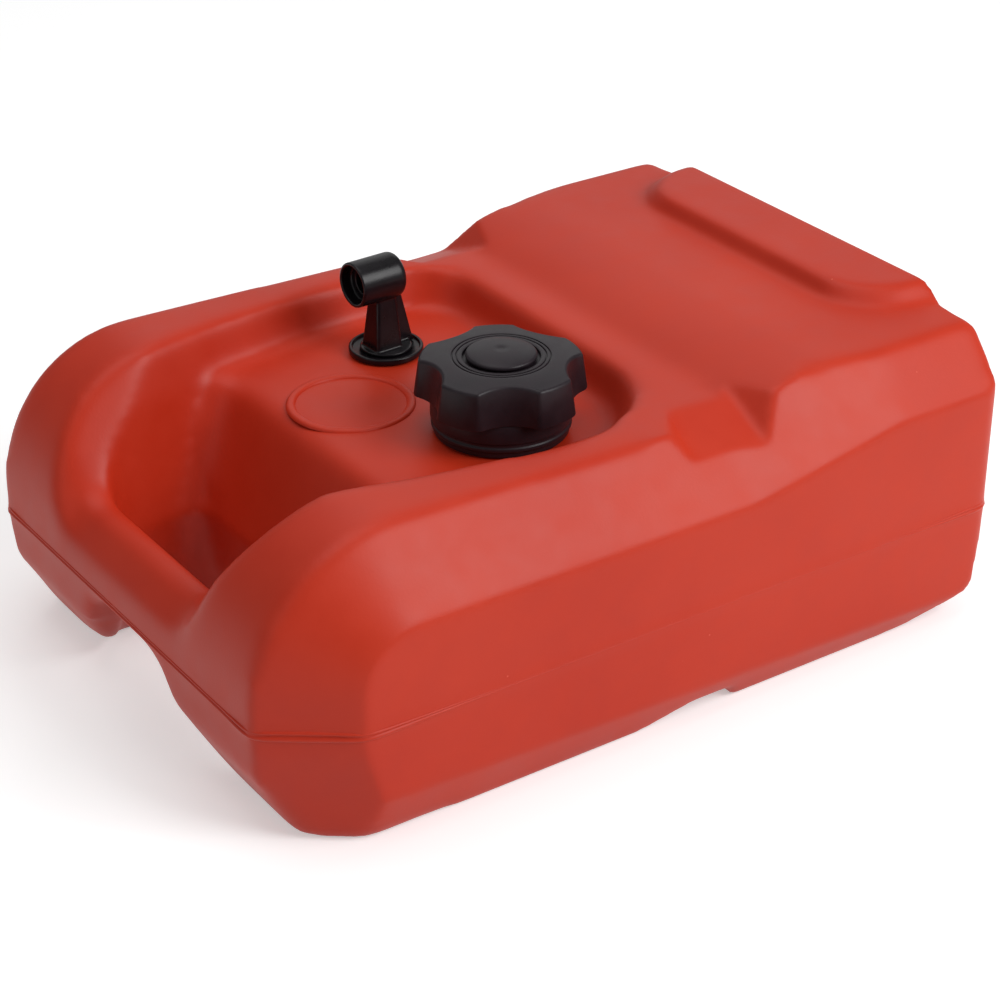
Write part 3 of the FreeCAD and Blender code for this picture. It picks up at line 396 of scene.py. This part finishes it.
def crisp(place):
    """How crisp the moulding is at a place: 0 where it is soft, 1 where it keeps the solid's edges.

    The crisp places are the strap notches, the side panels with their creases, the bands at the front
    corners, the pad on the rear bolster and the chamfer under the side panels. Each fades in over its runs.
    """
    x, y, z = (c / MM for c in place)
    side = abs(y)
    notch = past(x, 2, 8) * past(-x, -100, 10) * past(side, 90, 5) * past(z, 108, 6)
    crease = past(side, 142, 5)
    corner = past(side, 96, 6) * past(-x, 170, 10) * past(z, 22, 12) * past(-z, -96, 12)
    pad = past(x, 140, 8) * past(z, 148, 3) * past(-side, -115, 5)
    chamfer = past(side, 138, 3) * past(-z, -32, 6) * past(x, -130, 25)
    return max(notch, 0.75 * crease, 0.6 * corner, 0.6 * pad, 0.9 * chamfer)


def make_tank():
    """Smooth moulded skin over the solid, softest at the brow behind the hand hole."""
    rough = tank_outside()
    surface = BVHTree.FromBMesh(rough)
    skin = eased(fused(rough, SKIN_GRID), 3)
    soft = [v for v in skin.verts if crisp(v.co) < 0.5]
    low = [v for v in soft if v.co.z < FOOT_Z * MM]
    near_foot = [v for v in low if v.co.x < FOOT_X * MM and v.co.y < -FOOT_Y * MM]
    far_foot = [v for v in low if v.co.x < FOOT_X * MM and v.co.y > FOOT_Y * MM]
    underside = [v for v in low if v.co.x > FOOT_X * MM or v.co.y > -FOOT_Y * MM]
    brow = [v for v in soft if BROW_FRONT < v.co.x / MM < BROW_REAR and abs(v.co.y) < BROW_HALF * MM
            and v.co.z > BROW_LOW * MM]
    for verts, times in ((soft, 11), (underside, 16), (near_foot, 3), (far_foot, 34), (brow, 40)):
        eased(skin, times, verts)
    for vert in skin.verts:
        grip = crisp(vert.co)
        if grip:
            vert.co = vert.co.lerp(surface.find_nearest(vert.co)[0], grip)
    return piece("tank_skin", eased(skin, 3), "tank_red", "tank", ["tank_shell"], sharp=180.0)


# section of the twin ridge: how far it stands out, and its height over the parting line
RIDGES = ((-1.0, 2.6), (0.1, 2.4), (0.75, 1.9), (0.85, 1.4), (0.15, 0.9), (0.2, 0.5),
          (1.1, 0.0), (1.25, -0.8), (0.95, -1.4), (0.1, -1.8), (-1.0, -2.0))
RIDGE_SINK = 0.2
PANEL_FACING, BAND_FACING = 0.93, 0.3       # sideways part of the outward direction
PANEL_SIZE, BAND_SIZE, HANDLE_SIZE = 0.3, 1.3, 0.75


def seam_loop(tank):
    """Points of the tank's outline at the parting line, in order."""
    bm = bmesh.new()
    bm.from_mesh(tank.data)
    cut = bmesh.ops.bisect_plane(bm, geom=bm.verts[:] + bm.edges[:] + bm.faces[:], dist=1e-7,
                                 plane_co=(0, 0, SEAM_Z * MM), plane_no=(0, 0, 1))["geom_cut"]
    line = {g for g in cut if isinstance(g, bmesh.types.BMEdge)}
    start = max((v for e in line for v in e.verts), key=lambda v: (v.co.x, v.co.y))
    loop, last = [start], None
    while True:
        last = next(e for e in loop[-1].link_edges if e in line and e is not last)
        step = last.other_vert(loop[-1])
        if step is start:
            break
        loop.append(step)
    points = [v.co.copy() for v in loop]
    bm.free()
    return points


def seam_size(out, x):
    """Size of the ridge: large on the corner bands, small along the handle, faint on the side panels."""
    facing = abs(out.y)
    if facing > PANEL_FACING:
        return PANEL_SIZE + 0.5 * past(x, 140, 40) + 0.5 * past(-x, 90, 60)
    return BAND_SIZE if facing > BAND_FACING else HANDLE_SIZE


def neighbours(loop):
    """Each item of a closed loop, between the one before it and the one after it."""
    return zip(loop[-1:] + loop[:-1], loop, loop[1:] + loop[:1])


def make_seam(tank):
    """Twin ridge that the mould leaves along the parting line."""
    points = seam_loop(tank)[::2]
    for _ in range(2):
        points = [(before + 2 * point + after) / 4 for before, point, after in neighbours(points)]
    area = sum(a.x * b.y - b.x * a.y for _, a, b in neighbours(points))
    turn = math.copysign(1, area)
    outs = []
    for before, _, after in neighbours(points):
        along = (after - before).normalized()
        outs.append(Vector((along.y, -along.x, 0)).normalized() * turn)
    sizes = [seam_size(out, point.x / MM) for out, point in zip(outs, points)]
    for _ in range(12):
        sizes = [(before + size + after) / 3 for before, size, after in neighbours(sizes)]
    layers = []
    for point, out, size in zip(points, outs, sizes):
        width = min(size, 1.0)
        layers.append([point / MM + out * (reach * width - RIDGE_SINK) + Vector((0, 0, height * size))
                       for reach, height in RIDGES])
    piece("seam_ridge", lofted(layers), "tank_red", "tank", sharp=180.0)


def make_gauge_ring():
    """Rim of the blank gauge seat on the platform."""
    ring = spun([(26.4, -0.6), (27.2, 0.9), (28.2, 1.3), (29.8, 1.3), (30.8, 0.9), (31.6, -0.6)],
                closed=True)
    round_edges(ring, 0.5, 20.0)
    piece("gauge_ring", moved(ring, GAUGE_X, GAUGE_Y, PLATFORM_Z), "tank_red", "tank")


NECK_BORE, NECK_R, NECK_LOW, NECK_TOP = 22.0, 27.0, 112.0, 134.5
THREAD_Z, THREAD_PITCH, THREAD_TURNS = 125.2, 6.0, 1.25
THREAD_STEPS = 90


def make_neck():
    """Filler neck under the cap, with its thread."""
    tube = spun([(NECK_BORE, NECK_LOW), (NECK_BORE, NECK_TOP), (NECK_R, NECK_TOP), (NECK_R, NECK_LOW)],
                closed=True)
    round_edges(tube, 0.6, 40.0)
    thread = bmesh.new()
    section = [thread.verts.new((r * MM, 0, (THREAD_Z + z) * MM))
               for r, z in ((26.6, -1.65), (28.9, -0.7), (28.9, 0.7), (26.6, 1.65))]
    bmesh.ops.spin(thread, geom=[thread.faces.new(section)], cent=(0, 0, 0), axis=(0, 0, 1),
                   dvec=(0, 0, THREAD_PITCH * THREAD_TURNS * MM / THREAD_STEPS),
                   angle=math.tau * THREAD_TURNS, steps=THREAD_STEPS, use_duplicate=True)
    piece("filler_neck", moved(joined(tube, welded(thread)), CAP_X, CAP_Y), "tank_red", "tank")


make_seam(make_tank())
make_gauge_ring()
make_neck()


# ------------------------------------------------------------------ cap

LOBES = 5
SCALLOP_AT = -119.0                 # degrees, direction of the first scallop
KNOB_R, WAIST_R = 41.0, 34.0        # knob radius over the lobes, and at the middle of a scallop
BITE, CORNER = 22.0, 4.5            # radius of a scallop, and of the corners beside it
KNOB_LOW, RIM_Z, CROWN_Z = 138.0, 156.4, 158.2
DRAFT, EDGE = 2.2, 1.8              # how far the rim lies inside the lower edge, and its rounding
CROWN_R, CROWN_FALL = 24.1, 1.3     # level middle of the top, and how its fall to the rim quickens
ROOF = 2.6                          # thickness of the level middle
HOLLOW_R, HOLLOW_LOW = 26.5, 145.0  # the hollow over the core, down to where the mouth widens
MOUTH_R = 29.7
RING_LINES = (23.4, 21.4)

# sections through the knob: the lower edge as inset and height, the recess under the disc as radius and
# depth, and a ring line as depth and distance from its own radius
LOW_EDGE = ((0.9, 0), (0.26, 0.26), (0, 0.9))
RING_LINE = ((0, 0.2), (0.1, 0), (0.6, -0.1), (0.6, -0.6), (0.1, -0.7), (0, -0.9))
RECESS = ((18.7, 0), (18.4, 0.2), (18.3, 1.6), (14.6, 1.6), (14.6, ROOF), (HOLLOW_R, ROOF))
RIM_STEPS = 6


def knob_outline(inset):
    """Points of the knob's outline, anticlockwise, with round corners between lobes and scallops."""
    bite_at, corner_at, between = WAIST_R + BITE, KNOB_R - CORNER, BITE + CORNER
    swing = math.acos((bite_at ** 2 + corner_at ** 2 - between ** 2) / (2 * bite_at * corner_at))
    lean = math.acos((bite_at ** 2 + between ** 2 - corner_at ** 2) / (2 * bite_at * between))
    points, step = [], math.tau / LOBES

    def arc(middle_r, middle_a, radius, begin, end, count):
        for k in range(count):
            angle = begin + (end - begin) * k / count
            points.append(Vector((middle_r * math.cos(middle_a) + radius * math.cos(angle),
                                  middle_r * math.sin(middle_a) + radius * math.sin(angle))))

    for k in range(LOBES):
        at = math.radians(SCALLOP_AT) + k * step
        arc(corner_at, at - swing, CORNER - inset, at - swing, at + lean, 9)
        arc(bite_at, at, BITE + inset, at + math.pi + lean, at + math.pi - lean, 20)
        arc(corner_at, at + swing, CORNER - inset, at - lean, at + swing, 9)
        arc(0, 0, KNOB_R - inset, at + swing, at + step - swing, 12)
    return points


def crown(radius):
    """Height of the knob's top at a radius."""
    rim = KNOB_R - DRAFT - EDGE
    return CROWN_Z - (CROWN_Z - RIM_Z) * past(radius, CROWN_R, rim - CROWN_R) ** CROWN_FALL


def make_knob():
    """Drafted lobed body with a rounded rim, a crowned top, ring lines and a recess for the disc."""
    def outline(inset, z):
        return [(*p, z) for p in knob_outline(inset)]

    def circle(radius, z):
        return [(*(p.normalized() * radius), z) for p in knob_outline(0)]

    layers = [circle(MOUTH_R, KNOB_LOW)]
    layers += [outline(inset, KNOB_LOW + height) for inset, height in LOW_EDGE]
    rim = knob_outline(DRAFT + EDGE)
    for k in range(RIM_STEPS + 1):
        turn = math.radians(90 * k / RIM_STEPS)
        inner = knob_outline(DRAFT + EDGE * (1 - math.cos(turn)))
        layers.append([(*p, crown(r.length) - EDGE * (1 - math.sin(turn))) for p, r in zip(inner, rim)])
    for share in (0.2, 0.4, 0.6, 0.8, 1.0):
        blend = [r.lerp(r.normalized() * CROWN_R, share) for r in rim]
        layers.append([(*p, crown(p.length)) for p in blend])
    for line in RING_LINES:
        layers += [circle(line + out, CROWN_Z - depth) for depth, out in RING_LINE]
    layers += [circle(radius, CROWN_Z - depth) for radius, depth in RECESS]
    layers += [circle(HOLLOW_R, HOLLOW_LOW), circle(MOUTH_R, HOLLOW_LOW)]
    piece("knob", moved(lofted(layers), CAP_X, CAP_Y), "cap_black", "cap", ["cap_knob"])


def make_disc():
    """Domed disc in the middle of the knob, with a dimple."""
    disc = spun([(0, 156.0), (14.2, 156.0), (14.2, 158.0), (16.8, 158.0), (16.8, 159.3), (16.0, 160.0),
                 (13.0, 160.75), (9.0, 161.4), (5.0, 161.75), (2.2, 161.8), (1.5, 161.5), (0, 161.5)], 120)
    round_edges(disc, 0.3, 25.0)
    piece("knob_disc", moved(disc, CAP_X, CAP_Y), "cap_black", "cap", ["cap_disc"])


def make_skirt():
    """Skirt with its bead and groove, and the core that it hangs from."""
    low = 121.0
    outside = [(29.4, low), (32.1, low), (32.1, low + 2.6), (33.2, low + 3.4), (33.2, low + 5),
               (32.6, low + 5.4), (32.6, low + 7), (33.5, low + 7.6), (33.5, 137.8)]
    core = [(29.2, 137.8), (29.2, 140), (14.8, 140), (14.8, 151), (11.6, 151), (11.6, 140), (8.75, 140),
            (8.75, 136), (29.4, 136)]
    skirt = spun(outside + core, steps=120, closed=True)
    round_edges(skirt, 0.35)
    piece("cap_skirt", moved(skirt, CAP_X, CAP_Y), "cap_black", "cap", ["cap_core"])


make_knob()
make_disc()
make_skirt()


# ------------------------------------------------------------------ pickup

BARREL_Z = 161.0
ELBOW_TURN = 182.0      # degrees, direction of the fuel port
ELBOW_GRID = 0.45


def make_elbow():
    """Tapered post with a rib behind it, and the barrel with the fuel port, moulded in one."""
    post = box_loft((-5.5, 10, -7.5, 7.5, 122.7), (-4.0, 7.1, -4.2, 4.2, 153.4))
    round_edges(post, 1.4, segments=3)
    rib = box_loft((-15.6, 0, -1.8, 1.8, 122.7), (-8.6, 0, -1.8, 1.8, 150.0))
    barrel = spun([(0, -7), (8.0, -7), (9.3, -6.75), (10.4, -6.0), (11.15, -4.9), (11.4, -3.6), (11.4, 18.9),
                   (11.1, 19.2), (9.9, 19.2), (9.6, 18.9), (9.6, 13.2), (5.6, 13.2), (5.6, 0.2), (0, 0.2)])
    moved(turned(barrel, 90, "Y"), 0, 0, BARREL_Z)
    base = spun([(0, 122.65), (13, 122.65), (13, 124.25), (0, 124.25)])
    stem = spun([(0, 101), (7.5, 101), (7.5, 123), (0, 123)])
    elbow = eased(fused(joined(post, rib, barrel, base, stem), ELBOW_GRID), 5)
    piece("elbow", moved(turned(elbow, ELBOW_TURN, "Z"), PICK_X, PICK_Y), "pickup_black", "swivel",
          ["pickup_elbow"], sharp=60.0)


def make_flange():
    """Flange with its raised rim round the elbow's foot."""
    flange = spun([(7.75, 106), (10.25, 106), (11.05, 106.8), (11.05, 120.8), (18.2, 120.8), (18.7, 121.4),
                   (18.7, 123.5), (18.2, 124), (17.1, 124), (16.7, 122.4), (7.75, 122.4)], closed=True)
    round_edges(flange, 0.3, 25.0)
    piece("flange", moved(flange, PICK_X, PICK_Y), "pickup_black", "tank", ["pickup_flange"])


make_elbow()
make_flange()

# the nodes that keep the construction's own shape get their finishes
for entry in frame["record"]["subparts"]:
    node = frame["nodes"][entry["node"]]
    node.data.materials.clear()
    node.data.materials.append(finishes[entry["material_slot"]])


# ------------------------------------------------------------------ camera, floor and light

WHITE = (1, 1, 1, 1)
FLOOR_GREY = (0.80, 0.80, 0.80, 1)
FLOOR_GLOW = 0.42       # how much white the camera and reflections see on the floor
ROOM_LIGHT = 0.24
LAMPS_AIM = Vector((0, 0, 0.1))


def make_camera():
    """Camera off the corner between the handle and the cap's side, looking down on the tank."""
    camera = placed("camera", bpy.data.cameras.new("camera"))
    camera.location = (-0.6169, -0.9111, 0.6666)
    camera.rotation_euler = (math.radians(61.0), 0, math.radians(-34.5))
    camera.data.sensor_width = 36.0
    camera.data.lens = 90.9
    scene.camera = camera


def make_floor():
    """Matt floor that keeps the shadow and looks white to the camera, in reflections and through glass."""
    bm = bmesh.new()
    bmesh.ops.create_grid(bm, x_segments=1, y_segments=1, size=12.0)
    floor = placed("floor", meshed("floor", bm))
    finish = Finish("white floor")
    camera_ray, glossy_ray, clear_ray = (finish.add("ShaderNodeLightPath", output=ray) for ray in
                                         ("Is Camera Ray", "Is Glossy Ray", "Is Transmission Ray"))
    seen = camera_ray.or_more(glossy_ray).or_more(clear_ray)
    matt = finish.add("ShaderNodeBsdfDiffuse", None, {"Color": FLOOR_GREY})
    glow = finish.add("ShaderNodeEmission", None, {"Color": WHITE, "Strength": seen * FLOOR_GLOW})
    finish.show(finish.add("ShaderNodeAddShader", None, {0: matt, 1: glow}))
    floor.data.materials.append(finish.material)


def panel_light(name, place, size, watts):
    """Square panel of light aimed at the tank."""
    lamp = bpy.data.lights.new(name, "AREA")
    lamp.shape, lamp.size, lamp.energy = "SQUARE", size, watts
    panel = placed(name, lamp)
    panel.location = place
    panel.rotation_euler = (LAMPS_AIM - Vector(place)).to_track_quat("-Z", "Y").to_euler()


def make_room():
    """Dim even light all round, which the camera sees as white."""
    world = bpy.data.worlds.new("room")
    scene.world = world
    world.use_nodes = True
    room = Nodes(world.node_tree, "ShaderNodeOutputWorld")
    seen = room.add("ShaderNodeLightPath", output="Is Camera Ray")
    strength = ROOM_LIGHT + seen * (1 - ROOM_LIGHT)
    room.show(room.add("ShaderNodeBackground", None, {"Color": WHITE, "Strength": strength}))


make_camera()
make_floor()
panel_light("key", (0.8, -1.5, 1.35), 1.2, 31)
panel_light("top", (-0.1, 0.3, 1.9), 1.6, 12)
panel_light("back", (1.05, 1.55, 1.15), 1.5, 4)
panel_light("left", (-1.8, -0.3, 0.9), 1.2, 2)
make_room()

scene.view_settings.view_transform = "Standard"
